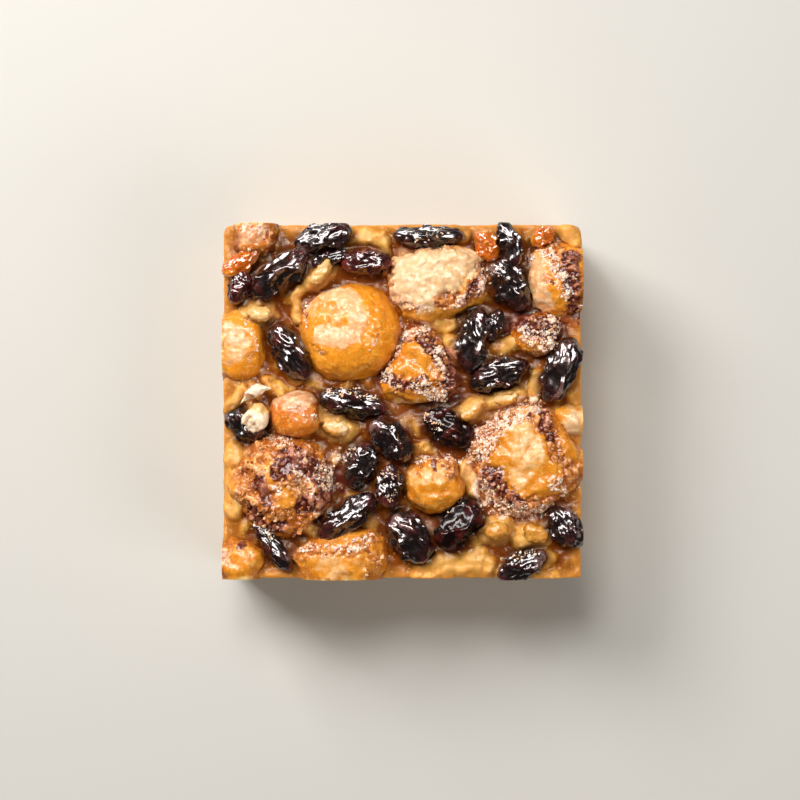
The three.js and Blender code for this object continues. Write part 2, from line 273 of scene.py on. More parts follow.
def coated(tree, colour, *coats):
    """A colour under coats of others. Each coat is its colour, then the value and limits of between."""
    for coat, *limits in coats:
        colour = blend(tree, between(tree, *limits), colour, coat)
    return colour


def blend_number(tree, share, one, two):
    """Mixes two numbers."""
    return add(tree, "Mix", {"Factor": share, "A": one, "B": two}).outputs[0]


def mask_of(tree, name):
    """A mask that was painted on the piece."""
    return add(tree, "Attribute", attribute_name=name).outputs["Fac"]


def close(tree, **inputs):
    """Ends a finish: a Principled shader with these inputs, its underscores read as spaces."""
    names = {key.replace("_", " "): value for key, value in inputs.items()}
    shader = add(tree, "BsdfPrincipled", names, subsurface_method="RANDOM_WALK")
    add(tree, "OutputMaterial", {"Surface": shader.outputs[0]})


def uneven(tree, height, depth, strength=1.0, under=None):
    """A bump whose hills stand depth metres high."""
    inputs = {"Height": height, "Distance": depth, "Strength": strength}
    if under is not None:
        inputs["Normal"] = under
    return add(tree, "Bump", inputs).outputs["Normal"]


print("middle grey in linear light:", round(linear("#808080")[0], 3))

# %% [markdown]
# ## Finish: raisin skin
# A raisin is a grape dried whole. Its skin is nearly black with a red-purple cast where light gets
# through a fold, and baking in custard leaves it wet, so its ridges carry small hard highlights.
# A dark base with a thin clear coat gives that. The wrinkles are real geometry, made further down.


# %% Raisin skin
# a grey painted sheen for the raisins' ridges, and the flesh of a cut raisin
SHEEN_GREY, CUT_FLESH = "#8c6862", "#4a1c0c"


def raisin_skin(name, dark, thin, clear, wet=1.0):
    """Dried grape skin: dark where thick, the thin colour on its ridges painted light through a fold, clear
    lets light in.
    """
    finish, tree, where = new_finish(name)
    mottled = speckle(tree, where, 3 * MM, 4)
    # painted light: the ridges take the thin colour, as the red glow of light through a fold
    light_through_folds = times(tree, between(tree, mottled, 0.42, 0.7), mask_of(tree, "ridge"))
    colour = blend(tree, light_through_folds, dark, thin)
    grain = speckle(tree, where, 0.6 * MM, 4)
    ridged = plus(tree, mask_of(tree, "ridge"), times(tree, grain, 0.8))
    # painted sheen: a grey highlight brushed onto the ridges of some raisins
    painted_sheen = times(tree, mask_of(tree, "painted_sheen"), between(tree, ridged, 0.85, 1.3))
    colour = blend(tree, painted_sheen, colour, SHEEN_GREY)
    colour = blend(tree, mask_of(tree, "cut"), colour, CUT_FLESH)
    close(
        tree,
        Base_Color=colour,
        Roughness=between(tree, grain, -0.2, 2.2, kind="LINEAR"),
        Specular_IOR_Level=0.7 * wet,
        Specular_Tint=(1.0, 0.84, 0.8, 1.0),
        Subsurface_Weight=clear,
        Subsurface_Radius=(1.0, 0.25, 0.12),
        Subsurface_Scale=1.2 * MM,
        Coat_Weight=wet, Coat_Roughness=0.1, Coat_IOR=1.65,
        Normal=uneven(tree, grain, 0.05 * MM, 0.4),
    )
    return finish


DARK_RAISIN = raisin_skin("raisin_skin_wet", "#0e0303", "#5a1c18", 0.0)
RED_RAISIN = raisin_skin("raisin_skin_red", "#34090a", "#7c2018", 0.3)
SULTANA = raisin_skin("sultana_skin_amber", "#c86206", "#ffb23c", 0.5)
CUT_RAISIN = raisin_skin("raisin_cut_open", "#240a06", "#6a2812", 0.2, 0.25)
DRY_RAISIN = raisin_skin("raisin_skin_drier", "#100404", "#5a1c18", 0.0, 0.3)
skins = (DARK_RAISIN, RED_RAISIN, SULTANA, CUT_RAISIN, DRY_RAISIN)
print("raisin skins:", ", ".join(skin.name for skin in skins))

# %% [markdown]
# ## Finish: crust
# The edges of the bread crumbled and toasted red-brown, and sugar melted onto them. Where each of these
# lies differs from chunk to chunk, so it is painted on the pieces as masks. The crust is mixed over
# whatever colour lies under it: each of its three layers is darker in the creases, as painted shade, and
# lighter on the crests, as painted light, and noise frays the edges of its mask.

# %% Crust over whatever lies under it
# each crumb colour comes as three: painted shade in a crease, the colour on a slope, painted light on a crest
TAN_CRUMB = ("#9c4c1c", "#b86026", "#f6ba80")  # deep in a crease, on a slope, on a crest
DARK_CRUMB = ("#5a1e10", "#742c18", "#d08c6c")
MELTED_SUGAR = "#ffdcc4"


def crust_over(tree, where, under, relief):
    """Adds tan crumb, dark crumb and sugar to a colour, where the masks are strong. Gives the sugar too."""
    crumb = speckle(tree, where, 1.6 * MM, 5, 0.65)
    grains = speckle(tree, where, 0.7 * MM, 3, 0.7)
    crests = times(tree, relief, 0.4)
    # painted shade and light: deep darkens the creases, the shade share lightens the crests and grains
    shade = between(tree, plus(tree, grains, crests), 0.5, 0.85)
    deep = between(tree, relief, 0.05, 0.4)
    ragged = times(tree, plus(tree, plus(tree, crumb, grains), -1.0), 1.5)

    def layer(colours):
        return blend(tree, deep, colours[0], blend(tree, shade, *colours[1:]))

    def share(mask, low, high):
        return between(tree, plus(tree, mask_of(tree, mask), ragged), low, high)

    tan = blend(tree, 0.3, layer(TAN_CRUMB), under)
    colour = blend(tree, share("crumb", 0.3, 0.85), under, tan)
    colour = blend(tree, share("dark", 0.3, 0.65), colour, layer(DARK_CRUMB))
    clumps = between(tree, plus(tree, speckle(tree, where, 1.5 * MM, 4, 0.75), crests), 0.54, 0.7)
    sugar = times(tree, share("sugar", 0.35, 0.85), clumps)
    return blend(tree, sugar, colour, MELTED_SUGAR), sugar


print("crust colours:", *TAN_CRUMB, *DARK_CRUMB, MELTED_SUGAR)

# %% [markdown]
# ## Finish: baked bread
# Soaked bread bakes to a clear gold, with painted shade deeper down its sides and in its dents. Custard
# dried on it as a pale film, and the same pale colour is brushed on as a painted highlight in places,
# with the crust over both. Where the knife went through, the bread shows its open crumb, its pores
# painted darker as painted shade, and, here and there, a thin rind. One finish does for every chunk,
# with three colours for each sort.

# %% Baked bread
# the palest film colour also serves as painted highlight
GOLD_SPECK, PALE_SPECK, DRY_FILM_AND_HIGHLIGHT = "#f8be54", "#ffdc98", "#fcd8ac"
INSIDE, LIGHT_INSIDE, PORE_SHADE, RIND = "#e0a650", "#f0c882", "#b87a30", "#b0661c"


def baked_bread(name, gold, deep, pale):
    """Bread soaked in custard and baked: gold, painted shade in the deep colour down its sides, pale film and
    highlight.
    """
    finish, tree, where = new_finish(name)
    broad = speckle(tree, where, 7 * MM, 3)
    crumb = speckle(tree, where, 1.6 * MM, 5, 0.65)
    fine = speckle(tree, where, 0.5 * MM, 3, 0.6)
    cut = mask_of(tree, "cut")

    # painted shade: the deep colour where the bread faces down or lies low, broken by slow noise
    height = plus(tree, mask_of(tree, "upward"), mask_of(tree, "relief"))
    shade = combine(tree, "SUBTRACT", plus(tree, broad, 1.0), height)
    specks = (GOLD_SPECK, crumb, 0.5, 0.7, 0.5), (PALE_SPECK, fine, 0.58, 0.68, 0.5)
    colour = coated(tree, gold, (deep, shade, 0.0, 0.85), *specks)
    # film and painted highlight: dried custard, and pale strokes where highlights lie
    film_and_highlight = plus(tree, mask_of(tree, "film_and_highlight"), times(tree, broad, 0.8))
    film_and_highlight_share = between(tree, plus(tree, film_and_highlight, times(tree, crumb, 0.7)), 1.0, 1.85)
    colour = blend(tree, film_and_highlight_share, colour, blend(tree, between(tree, crumb, 0.4, 0.75), pale, DRY_FILM_AND_HIGHLIGHT))
    colour, sugar = crust_over(tree, where, colour, mask_of(tree, "crag"))

    # painted shade: darker dots for the pores of the cut crumb
    inside = coated(tree, INSIDE, (LIGHT_INSIDE, crumb, 0.35, 0.65), (PORE_SHADE, fine, 0.6, 0.72))
    rind = times(tree, between(tree, cut, 0.95, 0.3), between(tree, broad, 0.4, 0.56))
    inside = blend(tree, rind, inside, RIND)
    colour = blend(tree, between(tree, cut, 0.0, 0.1), colour, inside)
    close(
        tree,
        Base_Color=colour,
        Roughness=blend_number(tree, film_and_highlight_share, blend_number(tree, sugar, 0.3, 0.5), 0.55),
        Specular_IOR_Level=0.35,
        Subsurface_Weight=0.4,
        Subsurface_Radius=(1.0, 0.5, 0.15),
        Subsurface_Scale=1.8 * MM,
        Coat_Weight=0.32,
        Coat_Roughness=0.1,
        Normal=uneven(tree, fine, 0.12 * MM, 0.5, uneven(tree, crumb, 0.2 * MM, 0.5)),
    )
    return finish


GOLDEN_BREAD = baked_bread("bread_baked_golden", "#ec931c", "#d47c12", "#e6a86e")
AMBER_BREAD = baked_bread("bread_baked_amber", "#de8a1e", "#b85e04", "#ecb060")
PEACH_BREAD = baked_bread("bread_baked_peach", "#d27420", "#964404", "#ce8e5e")
PALE_BREAD = baked_bread("bread_baked_pale", "#e29434", "#d08018", "#dfb584")
CREAM_BREAD = baked_bread("bread_soft_cream", "#e8bc7c", "#c48c40", "#f6e0c2")
SOFT_BREAD = baked_bread("bread_soft_golden", "#d4903a", "#a4660e", "#e4b06c")
BREADS = {"golden": GOLDEN_BREAD, "amber": AMBER_BREAD, "peach": PEACH_BREAD, "pale": PALE_BREAD}
print("breads:", *BREADS, "and for the soft bits:", CREAM_BREAD.name, SOFT_BREAD.name)

# %% [markdown]
# ## Finish: custard
# Egg custard sets to a glossy gold. It is amber, with painted shade in its hollows, brown where raisins
# bled into it, with painted shade round them too, painted light on its swells, and paler beside soft
# bread. Where the knife went it shows what it holds: soaked bread as pale patches with custard between
# them, small air holes painted darker as painted shade, and a browner foot.

# %% Set custard
AMBER, GOLD, SWELL_LIGHT, VALLEY_SHADE, SOAKED_BREAD = "#ae6610", "#e2aa4e", "#eab868", "#7c3802", "#dea256"
SPICE, BUBBLE, RAISIN_STAIN_AND_SHADE, RIM = "#7a3a0a", "#ffdfa0", "#461a04", "#f0a244"
CUT_BREAD, LIGHT_BREAD, SEAM, WHITE_CRUMB = "#e6aa58", "#f2c682", "#d2943c", "#f5dcaa"
HOLE_SHADE, FOOT, UNDER_TOP = "#a9682a", "#96541c", "#d48a38"


def set_custard(name):
    """Egg custard on top, and cut pudding at the sides."""
    finish, tree, where = new_finish(name)
    broad = speckle(tree, where, 9 * MM, 3)
    small = speckle(tree, where, 2.2 * MM, 4)
    fine = speckle(tree, where, 0.5 * MM, 3)
    height = add(tree, "SeparateXYZ", {"Vector": where}).outputs["Z"]
    lift, cut = mask_of(tree, "lift"), mask_of(tree, "cut")

    mixed = plus(tree, times(tree, broad, 0.6), times(tree, small, 0.4))
    soaked = combine(tree, "MAXIMUM", mask_of(tree, "fold"), mask_of(tree, "soaked"))
    soaked = plus(tree, soaked, times(tree, small, 0.8))
    spice = speckle(tree, where, 0.9 * MM, 2, 0.5)
    # painted light on the swells and painted shade in the hollows, by how far the skin was lifted
    top = coated(
        tree, AMBER, (GOLD, mixed, 0.42, 0.58), (SWELL_LIGHT, lift, 0.5, 0.95), (VALLEY_SHADE, lift, 0.42, 0.05),
        (SOAKED_BREAD, soaked, 0.75, 1.2, 0.6), (SPICE, spice, 0.66, 0.74, 0.7),
        (BUBBLE, spice, 0.36, 0.28, 0.6),
    )
    # stain and painted shade: brown and dark in the custard close to the raisins
    top = blend(tree, mask_of(tree, "stain_and_shade"), top, RAISIN_STAIN_AND_SHADE)
    top = blend(tree, mask_of(tree, "rim"), top, RIM)
    top, _ = crust_over(tree, where, top, lift)

    # bread patches 21 mm across, their seams bent by a slow noise
    drift = add(tree, "TexNoise", {"Vector": where, "Scale": 1 / (8 * MM), "Detail": 2.0}).outputs["Color"]
    bent = blend(tree, 0.011, where, drift, "ADD")
    patches = add(tree, "TexVoronoi", {"Vector": bent, "Scale": 1 / (21 * MM)}, feature="DISTANCE_TO_EDGE")
    seam = plus(tree, patches.outputs["Distance"], times(tree, small, 0.16))
    crumbs = (SEAM, seam, 0.19, 0.03), (WHITE_CRUMB, small, 0.58, 0.7)
    inside = coated(tree, CUT_BREAD, (LIGHT_BREAD, mixed, 0.4, 0.6), *crumbs)
    # painted shade: darker inside the air holes
    inside = blend(tree, mask_of(tree, "pit"), inside, HOLE_SHADE)
    browned = (FOOT, height, 3 * MM, 0.3 * MM, 0.85), (UNDER_TOP, height, 28 * MM, CUSTARD_LEVEL, 0.5)
    inside = coated(tree, inside, *browned)

    close(
        tree,
        Base_Color=blend(tree, cut, top, inside),
        Roughness=blend_number(tree, cut, 0.36, 0.45),
        Specular_IOR_Level=0.22,
        Specular_Tint=(1.0, 0.84, 0.65, 1.0),
        Subsurface_Weight=0.45,
        Subsurface_Radius=(1.0, 0.5, 0.15),
        Subsurface_Scale=2.0 * MM,
        Coat_Weight=0.1,
        Coat_Roughness=0.1,
        Normal=uneven(tree, fine, 0.1 * MM, 0.4, uneven(tree, small, 0.35 * MM, 0.6)),
    )
    return finish


CUSTARD = set_custard("custard_set_glossy")
print("custard:", CUSTARD.name)

# %% [markdown]
# ## Raisins: one fold pattern, several grapes
# As a grape dries, its skin folds along its length: rounded ridges with sharp creases between them,
# which run out towards the two tips, and finer wrinkles across. A Voronoi pattern has just such
# rounded cells with sharp joins, so a squat ball is displaced by it, less towards its ends, and then
# drawn out to a raisin's length, which stretches the cells into folds.

# %% Model the raisins
RAISIN_LENGTH = 14 * MM
RAISIN_WIDTH = 9.5 * MM
SQUAT = 0.72  # length of the ball that is wrinkled, as a share of the raisin's length
FOLD_WIDTHS = (2.8 * MM, 3.4 * MM, 2.3 * MM)
RAISIN_KINDS = 7


def wrinkled_raisin(number):
    """One raisin round the origin, lying along X. Each is wrinkled in its own part of the pattern."""
    bpy.ops.object.select_all(action="DESELECT")
    bpy.ops.mesh.primitive_uv_sphere_add(segments=80, ring_count=44, radius=RAISIN_WIDTH / 2)
    raisin = bpy.context.object
    raisin.name = f"raisin_kind_{number}"
    shift = 40 * MM * (number + 1)
    squat = SQUAT * RAISIN_LENGTH / RAISIN_WIDTH
    with opened(raisin):
        bpy.ops.transform.rotate(value=math.pi / 2, orient_axis="Y", center_override=(0, 0, 0))
        bpy.ops.transform.resize(value=(squat, 1, 1), center_override=(0, 0, 0))
        bpy.ops.transform.translate(value=(shift, 0, 0))
    before, normals = places(raisin), normals_of(raisin)
    along = (before[:, 0] - shift) / (SQUAT * RAISIN_LENGTH / 2)
    weigh(raisin, "flanks", 1.15 - 1.05 * along**2)

    fold = FOLD_WIDTHS[number % 3]
    dents = texture("CLOUDS", 4.5 * MM, noise_depth=0)
    folds = texture("VORONOI", fold, weight_1=-1.0, weight_2=1.0, noise_intensity=1.3)
    creases = texture("CLOUDS", 1.4 * MM, noise_depth=1, noise_type="HARD_NOISE")
    for pattern, height in ((dents, 2.2 * MM), (folds, 0.84 * fold), (creases, 1.3 * MM)):
        displace(raisin, pattern, height, vertex_group="flanks")
    modify(raisin, "SMOOTH", factor=0.5, iterations=2)
    lift = ((places(raisin) - before) * normals).sum(1)
    crease, crest = np.percentile(lift, (10, 95))
    put_mask(raisin, "ridge", np.clip((lift - crease) / (crest - crease), 0, 1))

    with opened(raisin):
        bpy.ops.transform.translate(value=(-shift, 0, 0))
        bpy.ops.transform.resize(value=(1 / SQUAT, 1, 1), center_override=(0, 0, 0))
    for method, axis, degrees in (("TWIST", "X", 40 - 12 * number), ("BEND", "Z", 12 * number - 32)):
        angle = math.radians(degrees)
        modify(raisin, "SIMPLE_DEFORM", deform_method=method, deform_axis=axis, angle=angle)
    points = places(raisin)
    move_to(raisin, points - (points.min(0) + points.max(0)) / 2)
    return raisin


raisin_kinds = [wrinkled_raisin(number) for number in range(RAISIN_KINDS)]
print("raisins modelled:", len(raisin_kinds), "with", len(raisin_kinds[0].data.polygons), "faces each")

# %% [markdown]
# ## Raisins: every one in its place
# Each copy has its own mesh. It is rolled about its length, so that no two show the same folds, and
# drawn to the length, width and height of the plain raisin that it stands for. One that the knife
# met is cut flush.


# %% Lay the raisins
def lie_of(node, out):
    """How a raisin lies across the axis out: its turn, its length, width and height, its middle."""
    points = places(nodes[node])
    flat = np.delete(points, out, axis=1)
    best = None
    for degrees in range(0, 180, 2):
        turn = math.radians(degrees)
        along = flat @ (math.cos(turn), math.sin(turn))
        across = flat @ (-math.sin(turn), math.cos(turn))
        size = (np.ptp(along), np.ptp(across))
        if size[0] >= size[1] and (best is None or size[0] * size[1] < best[0]):
            middle = ((along.max() + along.min()) / 2, (across.max() + across.min()) / 2)
            best = (size[0] * size[1], turn, size, middle)
    _, turn, size, middle = best
    heights = points[:, out]
    return turn, (*size, np.ptp(heights)), (*middle, (heights.max() + heights.min()) / 2)


def lay_raisin(node, kind, roll, finish, slot):
    """Lays a copy of a raisin where the CAD has one."""
    in_side = "_side_" in node
    out = 2  # the axis that points out of the pudding there: up on top, sideways in a cut
    if in_side:
        out = 1 if node.startswith(("raisin_front", "raisin_back")) else 0
    turn, size, middle = lie_of(node, out)
    raisin = placed(node + "_wrinkled", raisin_kinds[kind].data.copy())
    points = places(raisin) @ np.array(Matrix.Rotation(roll, 3, "X")).T
    points = points - (points.min(0) + points.max(0)) / 2
    points = points / np.ptp(points, axis=0)
    if in_side:
        points[:, 2] = np.sign(points[:, 2]) * 0.5 * np.abs(2 * points[:, 2]) ** 0.3
    points = points * size + middle
    turned = np.column_stack([
        points[:, 0] * math.cos(turn) - points[:, 1] * math.sin(turn),
        points[:, 0] * math.sin(turn) + points[:, 1] * math.cos(turn),
    ])
    move_to(raisin, np.insert(turned, out, points[:, 2], axis=1))
    if out == 1:  # putting the rows in this order has turned the mesh inside out
        with opened(raisin):
            bpy.ops.mesh.flip_normals()
    if in_side:
        put_mask(raisin, "cut", np.zeros(len(points)))
        only(raisin)
        bpy.ops.object.shade_smooth()
    else:
        trim(raisin, 0.1 * MM)
    return dress(raisin, finish, slot, node)


draw = random.Random(7)
raisin_nodes = sorted(n for n in nodes if n.startswith(("raisin", "sultana")))
raisins = {}
for i, node in enumerate(raisin_nodes):
    finish, slot = DARK_RAISIN, "raisin"
    if node.startswith("sultana"):
        finish, slot = SULTANA, "sultana"
    elif node.endswith("_red"):
        finish = RED_RAISIN
    elif node in ("raisin_front_round", "raisin_middle_right"):
        finish = DRY_RAISIN
    elif "_side_" in node:
        finish = CUT_RAISIN
    raisins[node] = lay_raisin(node, i % RAISIN_KINDS, draw.uniform(0, 2 * math.pi), finish, slot)
for kind in raisin_kinds:
    bpy.data.objects.remove(kind)
print("raisins laid:", len(raisins))

# %% [markdown]
# ## Bread chunks: where each is filmed, given painted highlights, toasted and sugared
# A brush stroke is its radius in mm, its strength, and the places that it passes through, in mm from
# the middle of the square. Film is dried custard, and also a painted highlight where light caught the
# bread; crumb is the torn toasted crust, dark is where it browned most, sugar is what sticks to it,
# and a dent is pressed down. The numbers beside them are how often the chunk is smoothed, and in mm
# how high its lumps, knobs, pores and flakes stand and how deep its dents are. What a chunk doesn't
# name has the usual value.

# %% Strokes for every chunk
CHUNKS = {
    "bread_golden_round": {
        "soft": 160, "lumps": 1.1, "knobs": 0.45,
        "film_and_highlight": [(1.9, 1.2, -19.5, 27, -16, 27), (2.3, 1.2, -13.5, 26, -11.5, 23, -11, 19),
            (2.4, 1.3, -13, 16.5, -17, 15.5, -20, 17), (1.3, 0.8, -23, 22, -22, 25),
            (3, 0.55, -17.5, 22)],
        "crumb": [(1.1, 0.6, -22, 14, -19, 12), (0.8, 0.5, -6.5, 16, -5.5, 19), (0.7, 0.5, -23.5, 21)],
        "sugar": [(0.8, 0.6, -24, 24, -24, 19), (0.8, 0.5, -8, 13, -6, 15), (0.8, 0.5, -20, 12)],
        "dent": [(5, 0.3, -17.5, 21.5)],
    },
    "bread_pale_flat": {
        "finish": "pale", "soft": 12, "pores": 0.25, "flakes": 0.8,
        "film_and_highlight": [(6.5, 1.4, 3, 31, 9, 33), (3.5, 1.2, -1, 27, 5, 25.5), (3, 1.4, 12, 36, 18, 34),
            (2.4, 1.1, 12, 29)],
        "crumb": [(2.2, 1, 20, 34, 19.5, 29, 15, 25.5, 10, 25),
            (1.1, 0.7, -2, 35, -3, 30, -1.5, 26, 3, 23), (0.9, 0.6, 1, 37.5, 7, 38.5, 13, 39)],
        "dark": [(1.4, 0.9, 19, 30, 16, 26)],
        "sugar": [(1.2, 0.9, 17, 27, 13, 25), (0.9, 0.5, 7, 23, 2, 23.5, -2, 27),
            (1.1, 0.8, 21, 33, 19, 27)],
        "dent": [(2.5, 0.6, 12, 26)],
    },
    "bread_toasted_wedge": {
        "finish": "amber", "lumps": 3.2,
        "film_and_highlight": [(2.2, 0.9, -1, -1.5, 3, -1)],
        "crumb": [(2.4, 1, 0, 16, 6, 17), (1.5, 1, -1, 14, -3, 12, -5, 6), (2.2, 1, 0, 4.5, 5, 4),
            (2.2, 1, 7, 14, 10, 9, 10, 3)],
        "dark": [(2.2, 1, 6, 15, 10, 11, 12, 6, 12, 2), (1.5, 0.9, -4, 6, 0, 4, 6, 5), (1.5, 0.7, 1, 15)],
        "sugar": [(2.2, 1, 1, 17, 5, 18), (1.6, 1.1, 8, 12, 9, 8), (2.4, 1.2, 5, 4, 9, 2),
            (1.2, 0.8, -4, 6, -1, 3), (1, 0.9, -1, 14.5, -5, 6)],
    },
    "bread_sugared_right": {
        "finish": "amber",
        "film_and_highlight": [(4, 0.85, 30, -8, 31, -14), (2.6, 0.7, 29, -19)],
        "crumb": [(3, 1, 19, -12, 21, -8, 26, -3.5), (2.2, 1, 34, -3, 37, -8, 38, -13, 41, -16),
            (3.2, 1, 19, -16, 22, -21, 26, -25, 34, -27, 40, -26), (2.6, 0.8, 40, -20, 43, -17)],
        "dark": [(1.6, 0.9, 35, -3, 37, -9), (2.2, 1, 21, -18, 25, -22, 28, -24), (1.3, 0.8, 19, -14)],
        "sugar": [(2.4, 1.4, 19, -13, 20, -9, 24, -6, 29, -2.5, 32, -1.5),
            (1.9, 1.1, 20, -21, 22, -26, 30, -28), (1.5, 1, 30, -28, 38, -27),
            (1.6, 0.8, 38, -20, 41, -23), (1.1, 0.9, 24, -17.5)],
    },
    "bread_crusty_left": {
        "finish": "amber", "lumps": 3.2,
        "film_and_highlight": [(1.6, 1, -27.5, -20.5, -25, -22.5), (2, 0.8, -35, -17)],
        "crumb": [(3.2, 1, -36, -12, -29, -10, -24, -13), (3.4, 1, -38, -18, -38, -24, -35, -27),
            (3, 0.9, -34, -29, -27, -30, -22, -27), (2.4, 0.9, -32, -23), (2.6, 0.9, -30, -18, -23, -24),
            (2.6, 0.9, -27, -14.5, -21, -17.5)],
        "dark": [(3.2, 1.2, -28, -14.5, -22, -17, -18, -20), (2.2, 1, -31, -17.5),
            (2.4, 1, -20, -24, -25, -26), (2, 1, -35, -31, -30, -31), (1.7, 0.9, -38, -28, -36, -30),
            (1.6, 0.9, -36, -20, -34, -25)],
        "sugar": [(2.2, 1.1, -16, -14, -20, -17, -18, -20), (1.3, 0.9, -33, -9.5, -28, -10),
            (1.5, 1, -26, -18, -23, -22), (1.3, 0.9, -31, -22), (1.3, 0.8, -22, -27)],
        "dent": [(1.6, 0.5, -34, -24)],
    },
    "bread_peach_cube": {
        "finish": "peach", "lumps": 1.2,
        "film_and_highlight": [(2.8, 1.2, -31, 1.5, -24, 1.5), (1, 0.6, -27, -2)],
        "crumb": [(0.6, 0.5, -26, -1.5, -22, -4)],
        "sugar": [(0.7, 0.7, -31, -1.5, -26, -2, -22, -4.5)],
    },
    "bread_amber_cube": {
        "finish": "amber", "soft": 90,
        "film_and_highlight": [(1.5, 0.9, 2.5, -18, 3, -20), (1.2, 1, 5.8, -17.5, 5.4, -20),
            (1.6, 1, 9.4, -17, 9, -19.5), (1.1, 0.9, 12.6, -19)],
        "crumb": [(1.3, 0.7, 4.2, -16, 4, -17.4), (1.3, 0.8, 10.6, -15.5, 12, -16.6, 12.6, -18)],
        "dark": [(0.7, 0.8, 7.6, -15.6, 7.9, -17.2), (0.5, 0.6, 12.4, -16.4, 13, -17.6)],
        "sugar": [(0.9, 0.9, 4, -14.5, 14, -14.5)],
    },
    "bread_front": {
        "finish": "amber",
        "film_and_highlight": [(3, 0.7, -19, -41, -16, -43), (2.4, 0.5, -10, -40)],
        "crumb": [(1.7, 0.7, -27, -39, -22, -37, -15, -37.5, -10, -36, -7, -34),
            (1.5, 0.6, -7, -38, -8, -43)],
        "sugar": [(0.9, 0.8, -26, -37, -20, -36, -13, -36.5, -8, -34.5)],
    },
    "bread_right_back": {
        "film_and_highlight": [(2.6, 1.1, 33, 35, 34, 28, 35, 24)],
        "crumb": [(2.6, 1, 38, 38, 41, 32, 43, 26, 43, 21), (1.5, 0.8, 36, 31)],
        "dark": [(2.2, 1, 42, 36, 42, 29, 44, 24)],
        "sugar": [(1.8, 1.1, 36, 37, 39, 33, 41, 27), (1.2, 0.8, 33, 38, 31, 35)],
    },
    "bread_sugared_crust": {
        "finish": "amber",
        "film_and_highlight": [(1.4, 0.8, 33, 13)],
        "crumb": [(5, 0.9, 34, 17)],
        "dark": [(3, 1, 29, 20, 38, 18)],
        "sugar": [(2.4, 1.2, 31, 17, 35, 15, 38, 20)],
        "dent": [(1.5, 0.9, 31, 19)],
    },
    "bread_left_back": {
        "soft": 90, "lumps": 1.5,
        "film_and_highlight": [(3, 0.8, -43, 18, -42, 12), (1.2, 0.8, -38, 21)],
        "sugar": [(0.9, 0.6, -39, 21, -37, 15, -38, 9)],
    },
    "bread_back_left": {
        "finish": "peach",
        "film_and_highlight": [(2.4, 0.8, -40, 41, -35, 42)],
        "crumb": [(1.6, 0.8, -34, 38, -33, 41), (1.8, 0.6, -41, 38, -37, 37)],
        "sugar": [(1.6, 0.6, -40, 43, -35, 43)],
    },
    "bread_front_left": {
        "finish": "amber",
        "film_and_highlight": [(2.6, 0.35, -40, -40, -38, -43)],
        "dark": [(1.2, 0.8, -40, -36)],
    },
    "bread_right_pale": {"finish": "pale", "film_and_highlight": [(4, 1.1, 44, -5)]},
}
BITS = {
    "bit_cream_petal": {
        "lumps": 1.6, "pores": 0.5, "flakes": 0.5, "deep": 1.5,
        "film_and_highlight": [(4.5, 1.3, -37.5, -6.5)],
        "dent": [(1.3, 1, -38.6, -5.6, -37.2, -7.4)],
    },
    "bit_cream_curl": {
        "deep": 2.4,
        "film_and_highlight": [(3, 2, -42, 0, -38, 2, -33, 3)],
        "dent": [(1.2, 1, -38, 0.5)],
    },
    "bit_cream_strip": {"film_and_highlight": [(1.8, 2, -36, 22.5, -31, 23)]},
    "bit_cream_drop": {"film_and_highlight": [(2.2, 2, -22, 31, -18.5, 34)]},
    "bit_left_of_middle": {"film_and_highlight": [(1.3, 1, -18, -5, -14, -7)]},
    "bit_right_of_middle": {"film_and_highlight": [(0.9, 1.2, 15, -3, 19, 0)]},
    "bit_under_raisin": {"film_and_highlight": [(0.9, 1.2, 23, 0.5, 28, 2)]},
    "bit_front_right": {"film_and_highlight": [(1.2, 0.7, 32, -35)]},
    "bit_front_right_round": {},
}
MASKS = ("film_and_highlight", "crumb", "dark", "sugar", "dent")
print("chunks to dress:", len(CHUNKS), "and bits:", len(BITS))

# %% [markdown]
# ## A brush for the masks
# A stroke's edge should not be a clean circle. Noise shifts the places that the brush sees, and thins
# the paint here and there, so crust and film come out as ragged as they do on baked bread. Each mask
# is kept twice: as numbers for the finish, and as a vertex group for the modifiers.

# %% Brush a mask
WAVER_WIDTH = 3 * MM
TATTER_WIDTH = 1.3 * MM


def canvas_of(piece, where=None):
    """What a brush needs of a piece: which vertices, their x and y in mm after a waver, and how ragged."""
    points = places(piece)
    chosen = np.arange(len(points)) if where is None else np.flatnonzero(where > 0)
    waver = np.array([noise.noise_vector(Vector(p) / WAVER_WIDTH) for p in points[chosen]])
    tatter = np.array([noise.noise(Vector(p) / TATTER_WIDTH) for p in points[chosen]])
    x, y = (points[chosen, :2] / MM + 1.3 * waver[:, :2]).T
    ragged = np.clip(1.05 + 0.6 * waver[:, 2] + 0.45 * tatter, 0.2, 1.15)
    allowed = ragged if where is None else ragged * where[chosen]
    return chosen, x, y, allowed


def brush(piece, name, strokes, canvas):
    """Paints a mask with soft strokes, and keeps it for the finish and for the modifiers."""
    chosen, x, y, allowed = canvas
    painted = np.zeros(len(x))
    for radius, strength, *path in strokes:
        corners = list(zip(path[::2], path[1::2]))
        for (x1, y1), (x2, y2) in zip(corners, corners[1:] or corners):
            length = max((x2 - x1) ** 2 + (y2 - y1) ** 2, 1e-9)
            share = np.clip(((x - x1) * (x2 - x1) + (y - y1) * (y2 - y1)) / length, 0, 1)
            away = np.hypot(x - x1 - share * (x2 - x1), y - y1 - share * (y2 - y1))
            # full up to about 0.6 of the radius, and nothing left at 1.4 of it
            inside = np.clip(1.7 - 1.7 * away / (1.4 * radius), 0, 1)
            painted = np.maximum(painted, strength * inside * inside * (3 - 2 * inside))
    mask = np.zeros(len(piece.data.vertices))
    mask[chosen] = painted * allowed
    put_mask(piece, name, mask)
    weigh(piece, name, mask)


print("masks to brush:", *MASKS)

